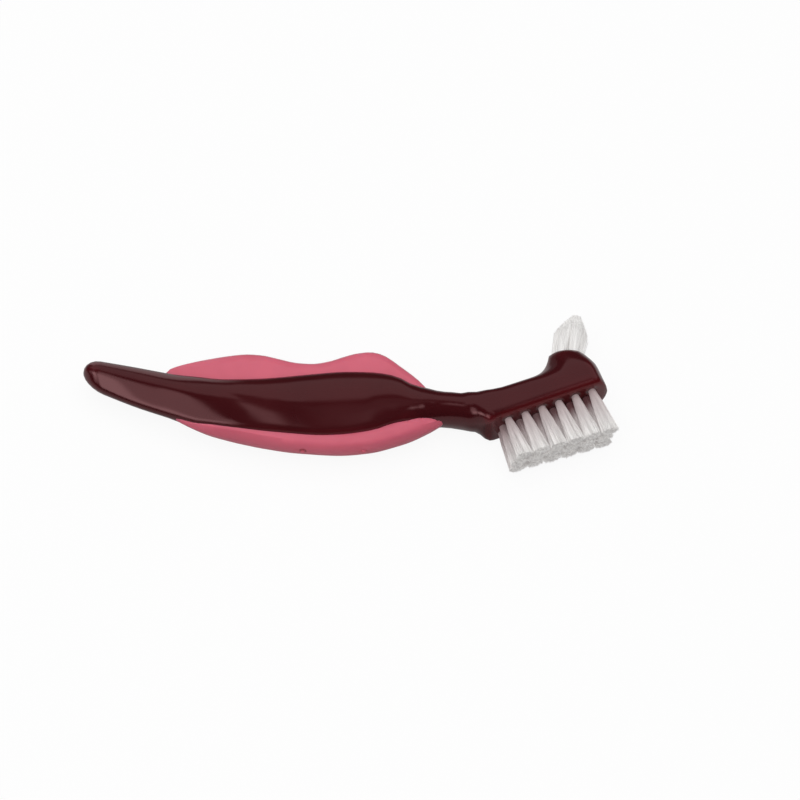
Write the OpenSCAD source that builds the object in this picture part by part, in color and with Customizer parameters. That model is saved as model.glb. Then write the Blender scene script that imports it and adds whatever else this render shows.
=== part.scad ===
// Denture brush lying on its side.
// +X runs along the handle to the head, +Y the way the small pointed brush faces, +Z up.
// The origin is under the middle of the brush head, on its lower flat side.
// Every handle section is mirrored about the plane halfway up, so both flat sides are alike.

/* [Handle] */
// Length from the tail end to where the head begins
handle_len = 115.2; // [100:0.2:140]
// Thickness of the handle where it fills the palm
palm_t = 15; // [12:0.5:18]
// Thickness of the neck behind the head
neck_t = 12; // [9:0.5:14]
// Thickness of the tail
tail_t = 10; // [7:0.5:12]
// Length of the rounding at the tail end
tail_round = 5.4; // [2:0.2:6]
// Width of the tail in plan
tail_w = 8.2; // [6:0.2:11]
// How far the tail end swings back from the straight line of the head's middle
tail_rise = 22.3; // [14:0.2:28]
// Reach of the palm's back edge from that line
palm_back = 12.7; // [9:0.1:14]
// Reach of the palm's front edge from that line
palm_front = 7.8; // [6:0.1:10]
// Width of the neck in plan
neck_w = 9.4; // [7:0.2:12]

/* [Head] */
// Turn of the head in plan, against the handle
head_angle = 15.7; // [8:0.1:22]
// Thickness of the head, from one flat side to the other
head_t = 15; // [14:0.5:18]
// Distance from the head's middle to its free end
head_front = 18.6; // [18:0.2:24]
// Distance from the head's middle back to the handle
head_back = 19; // [19:0.5:23]
// Depth of the tuft face below the head's middle line
face_drop = 3.7; // [3:0.1:5]
// Height of the plate's back above the head's middle line
plate_rise = 6; // [5:0.1:8]
// Length of the rounding at the head's free end
head_round = 4; // [2:0.5:6]
// Chamfer between the tuft face and the flat sides
face_chamfer = 0.9; // [0.4:0.1:1.5]

/* [Boss] */
// Place of the boss's middle along the head
boss_at = 11.9; // [11:0.1:13]
// Width of the boss's end face
boss_w = 11; // [10.5:0.1:13]
// Height of the boss's end face, across the head's thickness
boss_t = 10.4; // [9.6:0.1:12]
// Reach of the boss's end face from the head's middle line
boss_reach = 11.1; // [10:0.1:14]
// Slant of the boss's end face against the head
boss_slant = 20; // [10:1:26]
// Length of the hollow curve that leads up to the boss
boss_run = 9.5; // [6:0.5:14]

/* [Soft grip] */
// Thickness of the soft grip plate
grip_t = 8; // [5:0.5:9]
// Rounding of the plate's edges
grip_edge = 2.6; // [1:0.1:3]
// Reach of the thumb bump near the tail, measured from the palm's middle
rear_bump = 19; // [15:0.5:22]
// Reach of the thumb bump near the neck, measured from the palm's middle
front_bump = 16.4; // [13:0.5:20]
// Reach of the dip between the bumps, measured from the palm's middle
bump_dip = 14; // [12.5:0.5:15]
// Reach of the belly on the other edge, measured from the palm's middle
belly = 15.4; // [13:0.2:18]
// Height of the windows through which the two edges of the grip join
window_t = 3.6; // [2:0.2:4]
// Length of one window
window_len = 11; // [6:0.5:12]
// Distance from window to window
window_step = 17; // [14:0.5:18]
// Width of a moulding mark on the belly
mark_w = 1.6; // [1:0.1:2.4]
// How far a moulding mark stands proud
mark_rise = 0.25; // [0.1:0.05:0.5]

/* [Main tufts] */
// Tufts along the head
columns = 6; // [3:1:6]
// Rows of tufts across the head
rows = 3; // [2:1:3]
// Distance from tuft to tuft along the head
pitch = 5.28; // [4.9:0.02:5.4]
// Distance from row to row
row_step = 3.4; // [2.9:0.1:3.6]
// How far the middle row is set back towards the handle
middle_setback = 1.7; // [0:0.05:2.2]
// How far the lowest row is set back
lowest_setback = 2; // [0:0.05:2.2]
// Place of the last tuft of the top row along the head
last_tuft_at = 13.5; // [12.6:0.1:14]
// Bore of a tuft hole
hole_d = 2.2; // [1.8:0.1:2.4]
// Depth of a tuft hole
hole_depth = 4.6; // [3.5:0.1:5]
// Free length of the bristles at the middle of the brush
tuft_len = 13.9; // [10:0.1:18]
// Slant of the trimmed ends, longer towards the head's free end
trim_slant = 3.4; // [0:0.2:5]
// Width of a tuft's end along the head
tip_w = 4.5; // [2.6:0.1:4.7]
// Width of a tuft's end across the head
tip_t = 3; // [2.2:0.1:3.2]

/* [Pointed brush] */
// Radius of the ring of tufts round the middle one
ring_r = 3.3; // [2.8:0.05:3.4]
// Bore of its tuft holes
point_hole_d = 2.1; // [1.6:0.1:2.2]
// Depth of its tuft holes
point_hole_depth = 4.6; // [4:0.1:5]
// Length from the boss to the trimmed point
point_len = 13.6; // [10:0.2:18]
// Lean of the pointed brush from straight up, towards the free end
point_lean = 7; // [0:1:14]
// Width of each of its tufts at the top
point_tip_w = 3.2; // [2.2:0.1:3.2]
// Sideways place of the trimmed point
point_off = 1.4; // [0.4:0.1:2]
// Length of the slope from the point down to the shoulders
point_slope = 8; // [4:0.5:9]

/* [Anchors] */
// How far an anchor plate bites into the wall of its hole
anchor_bite = 0.15; // [0.05:0.05:0.25]
// Thickness of an anchor plate
anchor_t = 0.3; // [0.2:0.05:0.5]
// Height of an anchor plate
anchor_h = 1.5; // [1:0.1:2]
// Thickness of the filaments' fold under an anchor
fold = 0.5; // [0.3:0.1:0.8]
// Clearance round the filaments and the anchors
clear = 0.02; // [0.01:0.01:0.05]

/* [Hidden] */
mid_z = max(palm_t, head_t) / 2;
tuft_count = columns * rows;
point_count = 7;
tuft_names = [for (i = [1:tuft_count]) str("tuft_", i)];
tuft_anchor_names = [for (i = [1:tuft_count]) str("anchor_", i)];
point_names = [for (i = [1:point_count]) str("point_tuft_", i)];
point_anchor_names = [for (i = [1:point_count]) str("point_anchor_", i)];

maroon = "#4a1a20";
pink = "#d8647a";
bristle_white = "#e9e7e4";
anchor_brass = "#c9b071";

// Small cap left at the ends of a loft, as the sine of this angle
cap_angle = 6;
// Points round one softened corner of a section
corner_steps = 3;
// Sides of a tuft, and the depth of the ripple that its filaments make round its end
tuft_sides = 16;
filament_ripple = 0.07;
// Height above its hole to which a tuft stays round
mouth = 0.4;
// Spread of the pointed brush from its holes to its ends
point_spread = 1.04;
tail_x = -head_back - handle_len;

// Place along the handle, as a share of its length from the tail end
function at(share) = tail_x + share * handle_len;

// A smooth curve through [place, value] keys, flat beyond its ends
function key_index(keys, x, i = 0) = i >= len(keys) - 2 || x < keys[i + 1][0] ? i : key_index(keys, x, i + 1);
function chord(keys, i) = (keys[i + 1][1] - keys[i][1]) / (keys[i + 1][0] - keys[i][0]);
function tangent(keys, i) =
    i == 0 ? chord(keys, 0)
    : i == len(keys) - 1 ? chord(keys, i - 1)
    : let (a = chord(keys, i - 1), b = chord(keys, i)) a * b <= 0 ? 0 : 2 * a * b / (a + b);
function along(keys, x) =
    x <= keys[0][0] ? keys[0][1]
    : x >= keys[len(keys) - 1][0] ? keys[len(keys) - 1][1]
    : let (
        i = key_index(keys, x),
        w = keys[i + 1][0] - keys[i][0],
        t = (x - keys[i][0]) / w
    )
    (2 * t ^ 3 - 3 * t ^ 2 + 1) * keys[i][1] + (t ^ 3 - 2 * t ^ 2 + t) * w * tangent(keys, i)
    + (3 * t ^ 2 - 2 * t ^ 3) * keys[i + 1][1] + (t ^ 3 - t ^ 2) * w * tangent(keys, i + 1);

// Turn of the section plane at a place, and a section's point in space
turn_start = at(0.853);
turn_end = at(0.991);
function turn(s) =
    let (t = min(max((s - turn_start) / (turn_end - turn_start), 0), 1)) head_angle * t * t * (3 - 2 * t);
function place(s, p) =
    let (a = turn(s)) [s * cos(a) - p[0] * sin(a), s * sin(a) + p[0] * cos(a), mid_z + p[1]];

// Quarter-ellipse rounding at an end: 0 at the end itself, 1 from there inwards
function closing(distance, length) = distance >= length ? 1 : sqrt(max(0, 1 - (1 - distance / length) ^ 2));

// The boss: its end face is a slanted ellipse, and a hollow curve leads up to it from the plate
boss_half = boss_w * cos(boss_slant) / 2;
boss_left = boss_at - boss_half;
boss_right = boss_at + boss_half;
boss_foot = boss_left - boss_run;
rim_edge = 1.6;
function rim_reach(s) = boss_reach - tan(boss_slant) * (s - boss_at);
function rim_half(s) = max(rim_edge, boss_t / 2 * sqrt(max(0, 1 - ((s - boss_at) / boss_half) ^ 2)));

// Edges of the handle in plan, from the tail to the head's shoulder
back_keys = [
    [at(0), tail_rise + tail_w / 2],
    [at(0.13), tail_rise * 0.72 + tail_w * 0.72],
    [at(0.26), tail_rise * 0.45 + tail_w * 0.87],
    [at(0.37), palm_back * 1.08],
    [at(0.49), palm_back * 1.02],
    [at(0.63), palm_back * 1.035],
    [at(0.73), palm_back * 0.955],
    [at(0.79), palm_back * 0.81],
    [at(0.847), neck_w * 0.735],
    [at(0.88), neck_w * 0.72],
    [at(0.914), neck_w * 0.85],
    [at(0.948), neck_w * 0.985],
    [at(0.98), plate_rise * 1.53],
    [-head_back + 1, plate_rise * 1.27],
    [-head_back + 8, plate_rise * 1.025],
    [boss_foot, plate_rise]
];
front_keys = [
    [at(0), tail_rise - tail_w / 2],
    [at(0.13), tail_rise * 0.72 - tail_w * 0.79],
    [at(0.22), tail_rise * 0.52 - tail_w * 0.86],
    [at(0.277), palm_front * 0.155],
    [at(0.311), -palm_front * 0.01],
    [at(0.345), -palm_front * 0.175],
    [at(0.397), -palm_front * 0.39],
    [at(0.49), -palm_front * 0.7],
    [at(0.6), -palm_front * 0.97],
    [at(0.65), -palm_front],
    [at(0.72), -palm_front * 0.93],
    [at(0.78), -palm_front * 0.7],
    [at(0.86), -neck_w * 0.52],
    [at(0.898), -neck_w * 0.31],
    [at(0.94), -neck_w * 0.13],
    [-head_back - 2.8, -face_drop * 0.42],
    [-head_back - 1.2, -face_drop * 0.84],
    [-head_back + 0.8, -face_drop * 1.07],
    [-head_back + 2.8, -face_drop]
];
function back_edge(s) =
    s <= boss_foot ? along(back_keys, s)
    : s <= boss_left
        ? plate_rise + (rim_reach(boss_left) - plate_rise) * ((s - boss_foot) / boss_run) ^ 2.4
    : s <= boss_right ? rim_reach(s)
    : plate_rise + (rim_reach(boss_right) - plate_rise) * (1 - (s - boss_right) / (head_front - boss_right)) ^ 2.4;
function front_edge(s) = along(front_keys, s);

// Heights above the middle plane: back edge, shoulder, ridge and front edge
back_half_keys = [
    [at(0), tail_t * 0.28],
    [at(0.22), tail_t * 0.3],
    [at(0.31), grip_t / 2 + 0.6],
    [at(0.38), grip_t / 2 + 1.3],
    [at(0.8), grip_t / 2 + 1.3],
    [at(0.88), neck_t * 0.26],
    [at(0.95), neck_t * 0.3],
    [-head_back + 4, head_t * 0.36],
    [boss_foot, head_t * 0.36],
    [boss_left, rim_edge]
];
shoulder_half_keys = [
    [at(0), tail_t * 0.42],
    [at(0.2), tail_t * 0.46],
    [at(0.4), palm_t * 0.465],
    [at(0.78), palm_t * 0.465],
    [at(0.88), neck_t * 0.45],
    [at(0.95), neck_t * 0.47],
    [-head_back + 4, head_t / 2]
];
ridge_half_keys = [
    [at(0), tail_t * 0.47],
    [at(0.2), tail_t * 0.54],
    [at(0.4), palm_t * 0.487],
    [at(0.55), palm_t / 2],
    [at(0.7), palm_t / 2],
    [at(0.8), palm_t * 0.47],
    [at(0.88), neck_t / 2],
    [at(0.96), neck_t * 0.52],
    [-head_back + 2, head_t * 0.49],
    [-head_back + 5, head_t / 2]
];
front_half_keys = [
    [at(0), tail_t * 0.11],
    [at(0.2), tail_t * 0.13],
    [at(0.27), grip_t * 0.3],
    [at(0.31), grip_t * 0.41],
    [at(0.35), grip_t * 0.5],
    [at(0.4), grip_t / 2 + 0.7],
    [at(0.5), grip_t / 2 + 1.2],
    [at(0.8), grip_t / 2 + 1.2],
    [at(0.88), neck_t * 0.27],
    [at(0.96), neck_t * 0.3],
    [-head_back - 2.2, head_t * 0.26],
    [-head_back - 0.2, head_t * 0.44]
];
function half(keys, s) = along(keys, s) * closing(head_front - s, head_round);
function back_half(s) =
    s <= boss_left ? half(back_half_keys, s) : rim_half(s) * closing(head_front - s, head_round);

// Shares of the width, from the back edge, at which the shoulder and the ridge lie
head_share = 0.17;
shoulder_share_keys = [[at(0), 0.2], [at(0.4), 0.2], [at(0.9), 0.24], [-head_back + 4, head_share]];
ridge_share_keys = [
    [at(0), 0.47],
    [at(0.3), 0.43],
    [at(0.5), 0.49],
    [at(0.66), 0.5],
    [at(0.86), 0.59],
    [at(0.99), 0.64],
    [-head_back + 2.5, 0.91]
];
function across(s, share) = back_edge(s) + (front_edge(s) - back_edge(s)) * share;
function shoulder_at(s) =
    s <= boss_foot ? across(s, along(shoulder_share_keys, s)) : plate_rise - (plate_rise + face_drop) * head_share;
function ridge_at(s) =
    s <= -head_back + 2.5 ? across(s, along(ridge_share_keys, s)) : front_edge(s) + face_chamfer;

// How far the corners are softened: the two edges, and the crown between them
edge_soft_keys = [
    [at(0), 1.2],
    [at(0.4), 1.4],
    [at(0.78), 1.6],
    [at(0.88), 5],
    [at(0.97), 4],
    [-head_back + 2, 1]
];
crown_soft_keys = [
    [at(0), 1.1],
    [at(0.25), 1.6],
    [at(0.45), 6],
    [at(0.95), 6],
    [-head_back + 1, 2.2],
    [-head_back + 3, 1]
];

// One softened corner, as points on a parabola that touches its two sides
function soft_corner(a, p, b, soft) =
    let (
        u = (a - p) / norm(a - p) * min(soft, norm(a - p) * 0.48),
        v = (b - p) / norm(b - p) * min(soft, norm(b - p) * 0.48)
    )
    [for (k = [0:corner_steps]) let (t = k / corner_steps) p + u * (1 - t) ^ 2 + v * t ^ 2];
function soft_outline(corners, softs) =
    let (n = len(corners))
    [for (i = [0:n - 1]) each soft_corner(corners[(i + n - 1) % n], corners[i], corners[(i + 1) % n], softs[i])];

// The list of upper corners and the same list mirrored below, in order round the section
function mirrored(upper) = concat(upper, [for (i = [len(upper) - 1:-1:0]) [upper[i][0], -upper[i][1]]]);
function there_and_back(list) = concat(list, [for (i = [len(list) - 1:-1:0]) list[i]]);

// The handle's section at a place
function handle_section(s) =
    let (
        corners = mirrored([
            [back_edge(s), back_half(s)],
            [shoulder_at(s), half(shoulder_half_keys, s)],
            [ridge_at(s), half(ridge_half_keys, s)],
            [front_edge(s), half(front_half_keys, s)]
        ]),
        edge_soft = along(edge_soft_keys, s),
        crown_soft = along(crown_soft_keys, s),
        plate_soft = s > -head_back ? 3 : 0,
        softs = there_and_back([edge_soft, max(crown_soft, plate_soft), crown_soft, edge_soft]),
        nose = closing(s - tail_x, tail_round),
        centre = (back_edge(s) + front_edge(s)) / 2
    )
    [for (p = soft_outline(corners, softs)) [centre + (p[0] - centre) * nose, p[1] * nose]];

// Places of the handle's sections, closer together at both ends and round the boss
function spaced(from, to, count) = [for (i = [0:count - 1]) from + (to - from) * i / count];
function end_spaced(length, count) =
    [for (i = [0:count - 1]) length * (1 - cos(cap_angle + (90 - cap_angle) * i / count))];
handle_places = concat(
    [for (d = end_spaced(tail_round, 5)) tail_x + d],
    spaced(tail_x + tail_round, -head_back - 4, 40),
    spaced(-head_back - 4, -head_back + 5, 8),
    spaced(-head_back + 5, boss_foot, 4),
    spaced(boss_foot, boss_left, 8),
    spaced(boss_left, head_front - head_round, 9),
    [for (i = [6:-1:0]) head_front - head_round * (1 - cos(cap_angle + (90 - cap_angle) * i / 6))]
);

// Skins a list of rings of points and closes both ends
module skin(rings) {
    n = len(rings[0]);
    m = len(rings);
    polyhedron(
        points = [for (ring = rings) each ring],
        faces = concat(
            [[for (i = [0:n - 1]) i]],
            [for (j = [0:m - 2], i = [0:n - 1])
                each [
                    [j * n + i, (j + 1) * n + i, (j + 1) * n + (i + 1) % n],
                    [j * n + i, (j + 1) * n + (i + 1) % n, j * n + (i + 1) % n]
                ]],
            [[for (i = [n - 1:-1:0]) (m - 1) * n + i]]
        ),
        convexity = 8
    );
}

// Frames on the head: its own turned frame, a main tuft's hole and the boss's end face
module in_head() {
    rotate([0, 0, head_angle]) children();
}
setbacks = [0, middle_setback, lowest_setback];
function tuft_along(r, c) = last_tuft_at - (columns - 1 - c) * pitch - setbacks[r];
module at_tuft(r, c) {
    in_head()
        translate([tuft_along(r, c), -face_drop, mid_z + ((rows - 1) / 2 - r) * row_step])
            rotate([90, 0, 0]) children();
}
module at_boss() {
    in_head()
        translate([boss_at, boss_reach, mid_z])
            rotate([0, 0, -head_angle - point_lean])
                rotate([-90, 0, 0]) children();
}
function point_place(i) = i == 0 ? [0, 0] : ring_r * [cos(60 * (i - 1)), sin(60 * (i - 1))];

// An anchor plate, or the room for it, above the fold of the filaments
module anchor_plate(bore, depth, gap) {
    size = [anchor_t + 2 * gap, bore + 2 * anchor_bite + 2 * gap, anchor_h + 2 * gap];
    translate([-size[0] / 2, -size[1] / 2, fold - depth - gap]) cube(size);
}

// Bore for one tuft, with the notches that its anchor bites
module tuft_bore(bore, depth) {
    translate([0, 0, -depth]) cylinder(d = bore, h = depth + 2, $fn = 24);
    anchor_plate(bore, depth, clear);
}

// Windows through the palm that join the two edges of the grip
module grip_windows() {
    straight = window_len - window_t;
    for (i = [-1:1])
        translate([at(0.585) + i * window_step, 0, mid_z])
            rotate([90, 0, 0]) {
                translate([-straight / 2, -window_t / 2, -60]) cube([straight, window_t, 120]);
                for (side = [-1, 1])
                    translate([side * straight / 2, 0, -60]) cylinder(d = window_t, h = 120, $fn = 32);
            }
}

module handle_body() {
    skin([for (s = handle_places) [for (p = handle_section(s)) place(s, p)]]);
}

module handle() {
    color(maroon)
        difference() {
            handle_body();
            grip_windows();
            for (r = [0:rows - 1], c = [0:columns - 1]) at_tuft(r, c) tuft_bore(hole_d, hole_depth);
            for (i = [0:point_count - 1])
                at_boss() translate(point_place(i)) tuft_bore(point_hole_d, point_hole_depth);
        }
}

// Outline of the grip plate in plan, and its half thickness, which runs out towards the tail
grip_back_keys = [
    [at(0.19), palm_back * 1.2],
    [at(0.215), rear_bump * 1.1],
    [at(0.25), rear_bump * 1.165],
    [at(0.3), rear_bump * 1.2],
    [at(0.36), rear_bump * 1.22],
    [at(0.41), rear_bump * 1.222],
    [at(0.455), rear_bump * 1.185],
    [at(0.5), rear_bump * 1.09],
    [at(0.545), bump_dip * 1.345],
    [at(0.595), bump_dip * 1.285],
    [at(0.63), bump_dip * 1.315],
    [at(0.665), front_bump * 1.185],
    [at(0.7), front_bump * 1.235],
    [at(0.73), front_bump * 1.245],
    [at(0.76), front_bump * 1.188],
    [at(0.815), front_bump * 0.848],
    [at(0.86), front_bump * 0.515],
    [at(0.9), 0]
];
grip_front_keys = [
    [at(0.2), palm_front * 0.9],
    [at(0.225), palm_front * 0.54],
    [at(0.265), palm_front * 0.13],
    [at(0.31), -belly * 0.115],
    [at(0.352), -belly * 0.235],
    [at(0.396), -belly * 0.345],
    [at(0.44), -belly * 0.455],
    [at(0.53), -belly * 0.63],
    [at(0.665), -belly * 0.765],
    [at(0.71), -belly * 0.755],
    [at(0.78), -belly * 0.66],
    [at(0.84), -belly * 0.53],
    [at(0.9), -belly * 0.33],
    [at(0.925), -belly * 0.2]
];
grip_half_keys = [
    [at(0.2), 0.7],
    [at(0.225), 1],
    [at(0.265), grip_t * 0.22],
    [at(0.31), grip_t * 0.37],
    [at(0.35), grip_t * 0.45],
    [at(0.4), grip_t / 2],
    [at(0.8), grip_t / 2],
    [at(0.85), grip_t * 0.43],
    [at(0.885), grip_t * 0.3],
    [at(0.91), grip_t * 0.16],
    [at(0.925), 0.6]
];
function grip_section(x) =
    let (h = along(grip_half_keys, x), soft = min(grip_edge * 1.25, h * 0.95))
    soft_outline(
        mirrored([[along(grip_back_keys, x), h], [along(grip_front_keys, x), h]]),
        [soft, soft, soft, soft]
    );
module grip_plate() {
    skin([for (x = spaced(at(0.192), at(0.927), 48)) [for (p = grip_section(x)) [x, p[0], mid_z + p[1]]]]);
}

// Low round mark that the moulding pin leaves on the belly, turned square to the wall there
mark_places = [at(0.539), at(0.693)];
module moulding_mark(x) {
    step = 1;
    wall = along(grip_front_keys, x);
    slope = (along(grip_front_keys, x + step) - along(grip_front_keys, x - step)) / (2 * step);
    translate([x, wall, mid_z])
        rotate([90, 0, atan(slope)])
            translate([0, 0, -mark_w / 2]) cylinder(d = mark_w, h = mark_w / 2 + mark_rise, $fn = 24);
}

module soft_grip() {
    color(pink)
        difference() {
            union() {
                grip_plate();
                for (x = mark_places) moulding_mark(x);
            }
            difference() {
                handle_body();
                grip_windows();
            }
        }
}

// One tuft: its root folds over the anchor, and its filaments spread to a trimmed end.
// tip is the middle of that end, spread its two widths and rise its slope along and across.
module tuft(bore, depth, tip, spread, rise) {
    r = bore / 2 - clear;
    angles = [for (i = [0:tuft_sides - 1]) 360 * i / tuft_sides];
    color(bristle_white)
        difference() {
            skin([
                [for (a = angles) [r * cos(a), r * sin(a), clear - depth]],
                [for (a = angles) [r * cos(a), r * sin(a), mouth]],
                [for (i = [0:tuft_sides - 1])
                    let (
                        ripple = i % 2 == 0 ? 1 : 1 - filament_ripple,
                        x = spread[0] / 2 * ripple * cos(angles[i]),
                        y = spread[1] / 2 * ripple * sin(angles[i])
                    )
                    [tip[0] + x, tip[1] + y, tip[2] + rise[0] * x + rise[1] * y]]
            ]);
            anchor_plate(bore, depth, clear);
        }
}

module main_tuft(r, c) {
    slope = tan(trim_slant);
    at_tuft(r, c)
        tuft(hole_d, hole_depth, [0, 0, tuft_len + slope * tuft_along(r, c)], [tip_w, tip_t], [slope, 0]);
}
module main_anchor(r, c) {
    color(anchor_brass) at_tuft(r, c) anchor_plate(hole_d, hole_depth, 0);
}

// A tuft of the pointed brush: its end leans with the filaments and is cut back from the point
module point_tuft(i) {
    tip = point_place(i) * point_spread;
    from_point = tip - [point_off, 0];
    far = norm(from_point);
    away = from_point / far;
    slope = point_slope / (ring_r * point_spread + point_tip_w / 2 - point_off * away[0]);
    at_boss()
        translate(point_place(i))
            tuft(
                point_hole_d,
                point_hole_depth,
                [tip[0] - point_place(i)[0], tip[1] - point_place(i)[1], point_len - slope * far],
                [point_tip_w, point_tip_w],
                -slope * away
            );
}
module point_anchor(i) {
    color(anchor_brass) at_boss() translate(point_place(i)) anchor_plate(point_hole_d, point_hole_depth, 0);
}

handle();
soft_grip();
for (i = [0:tuft_count - 1]) {
    main_tuft(floor(i / columns), i % columns);
    main_anchor(floor(i / columns), i % columns);
}
for (i = [0:point_count - 1]) {
    point_tuft(i);
    point_anchor(i);
}
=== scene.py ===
"""Denture brush: a glossy handle with a soft grip, a tufted head and a small pointed brush."""

import math
import random

import bpy
from bpy.props import FloatProperty, FloatVectorProperty, IntProperty, PointerProperty
from bpy.types import NodeSocket, Operator, Panel, PropertyGroup
from mathutils import Matrix, Vector


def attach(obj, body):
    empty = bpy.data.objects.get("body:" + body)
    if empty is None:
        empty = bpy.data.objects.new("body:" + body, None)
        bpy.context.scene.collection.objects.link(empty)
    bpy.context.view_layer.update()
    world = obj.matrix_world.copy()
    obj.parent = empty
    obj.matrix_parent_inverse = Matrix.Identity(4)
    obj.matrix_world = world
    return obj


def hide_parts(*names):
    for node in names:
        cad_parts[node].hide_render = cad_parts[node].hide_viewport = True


bl_info = {
    "name": "Denture brush",
    "version": (1, 0, 0),
    "blender": (4, 5, 0),
    "location": "View3D > Sidebar > Brush",
    "description": "Dresses the denture brush and sets it on a pale floor under soft light",
    "category": "Object",
}

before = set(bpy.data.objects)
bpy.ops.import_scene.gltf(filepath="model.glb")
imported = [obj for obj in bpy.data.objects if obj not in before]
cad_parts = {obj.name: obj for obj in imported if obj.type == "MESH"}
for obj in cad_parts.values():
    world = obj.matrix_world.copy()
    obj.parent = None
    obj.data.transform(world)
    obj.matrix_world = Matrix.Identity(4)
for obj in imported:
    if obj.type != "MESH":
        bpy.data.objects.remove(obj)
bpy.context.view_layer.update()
MM = 0.001
GOLDEN_TURN = math.pi * (3 - math.sqrt(5))
WHITE = (1, 1, 1, 1)
# Points of a moulding closer than this are merged, and faces flatter than this to each other become one
MERGE_DISTANCE = 0.002 * MM
FLAT_ANGLE = math.radians(0.4)
# Shares of a filament's length at which it is bowed, and how much of the bow it has there
BOWED_AT = ((0.35, 1.0), (0.7, 0.75))
# Moulding marks on the grip: the middle of each one's end, the way it faces and how dark the painted shade in
# its corner is
MOULDING_MARKS = (
    (Vector((-0.07218, -0.01028, 0.0075)), Vector((-0.18, -0.984, 0)), 1.0),
    (Vector((-0.05437, -0.012, 0.0075)), Vector((0.04, -0.999, 0)), 0.2),
)
MARK_RADIUS = 0.9 * MM
# Stretches of a noise over which one finish turns into another
SHARP = (0.4, 0.6)
MEDIUM = (0.35, 0.65)
SOFT = (0.3, 0.7)
# Bright windows of the tent, seen in the gloss: arc, side, half width, half height, softness and level
WINDOWS = (
    (131, 0, 0.75, 0.33, 0.06, 0.45),
    (114, -17, 0.11, 0.245, 0.03, 0.45),
    (98, 21, 0.36, 0.075, 0.05, 0.15),
    (93, 3, 0.025, 0.05, 0.03, 0.3),
    (67, -33, 0.13, 0.185, 0.04, 1.0),
    (47, -41, 0.13, 0.14, 0.12, 2.0),
    (90, -9, 0.03, 0.07, 0.05, 0.8),
    (58, -61, 0.06, 0.08, 0.12, 2.4),
    (77, -74, 0.08, 0.08, 0.1, 0.6),
    (82, 18, 0.04, 0.03, 0.05, 1.6),
)
# Two corners of the card that stands behind the tail, and the width of its faded right edge
CARD = (Vector((-0.15, 0.06, 0)), Vector((-0.083, 0.061, 0.028)))
CARD_FADE = 15 * MM


# Sizes and colours


class HandleLook(PropertyGroup):
    """The hard moulding of the handle and the head."""

    plastic: FloatVectorProperty(
        name="Plastic", description="Colour of the plastic", subtype="COLOR", default=(0.048, 0.0052, 0.0068)
    )
    plastic_deep: FloatVectorProperty(
        name="Deep plastic",
        description="Colour of its darker clouds",
        subtype="COLOR",
        default=(0.041, 0.0045, 0.006),
    )
    # Painted glow: a redder colour on thin edges stands in for light that gets into them
    painted_edge_glow: FloatVectorProperty(
        name="Thin edge",
        description="Colour where light gets into an edge",
        subtype="COLOR",
        default=(0.115, 0.008, 0.012),
    )
    # Painted glow: a redder colour beside the tufts stands in for the light that they pass to the face
    painted_tuft_glow: FloatVectorProperty(
        name="Tufted face",
        description="Colour beside the tufts, which light it",
        subtype="COLOR",
        default=(0.09, 0.0055, 0.007),
    )
    gloss_tint: FloatVectorProperty(
        name="Gloss tint",
        description="Tint of its gloss seen from above",
        subtype="COLOR",
        default=(1, 0.52, 0.54),
    )
    cloud_scale: FloatProperty(name="Cloud scale", description="Clouds in each metre", default=45)
    roughness: FloatVectorProperty(
        name="Roughness", description="Lowest and highest roughness", size=2, default=(0.07, 0.13)
    )
    edge_range: FloatVectorProperty(
        name="Edge range",
        description="Pointiness at which the colour of thin edges starts and is full",
        size=2,
        default=(0.52, 0.585),
    )
    rounding: FloatProperty(
        name="Rounding", description="Radius that its edges seem to have", unit="LENGTH", default=2.2 * MM
    )
    tuft_light: FloatVectorProperty(
        name="Tuft light",
        description="Lengths before the first tuft at which its light starts and is full, and its height",
        unit="LENGTH",
        default=(7 * MM, 1 * MM, 1.2 * MM),
    )
    smooth_angle: FloatProperty(
        name="Smooth angle",
        description="Edges flatter than this are shaded smooth",
        subtype="ANGLE",
        default=math.radians(38),
    )


class GripLook(PropertyGroup):
    """The soft elastomer of the grip."""

    elastomer: FloatVectorProperty(
        name="Elastomer", description="Colour of the soft grip", subtype="COLOR", default=(0.66, 0.122, 0.183)
    )
    elastomer_deep: FloatVectorProperty(
        name="Deep elastomer",
        description="Colour of its darker clouds",
        subtype="COLOR",
        default=(0.61, 0.106, 0.162),
    )
    # Painted shade in the corner round a moulding mark
    mark_shade: FloatVectorProperty(
        name="Mark shade",
        description="Colour in the corner round a moulding mark",
        subtype="COLOR",
        default=(0.36, 0.05, 0.07),
    )
    mark_inset: FloatProperty(
        name="Mark inset", description="Width of a mark's rim", unit="LENGTH", default=0.3 * MM
    )
    mark_rise: FloatProperty(
        name="Mark rise", description="How far a mark's end stands out", unit="LENGTH", default=0.28 * MM
    )
    cloud_scale: FloatProperty(name="Cloud scale", description="Clouds in each metre", default=70)
    grain_scale: FloatProperty(name="Grain scale", description="Grains in each metre", default=2600)
    roughness: FloatVectorProperty(
        name="Roughness", description="Lowest and highest roughness", size=2, default=(0.42, 0.55)
    )
    smooth_angle: FloatProperty(
        name="Smooth angle",
        description="Edges flatter than this are shaded smooth",
        subtype="ANGLE",
        default=math.radians(34),
    )


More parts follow.
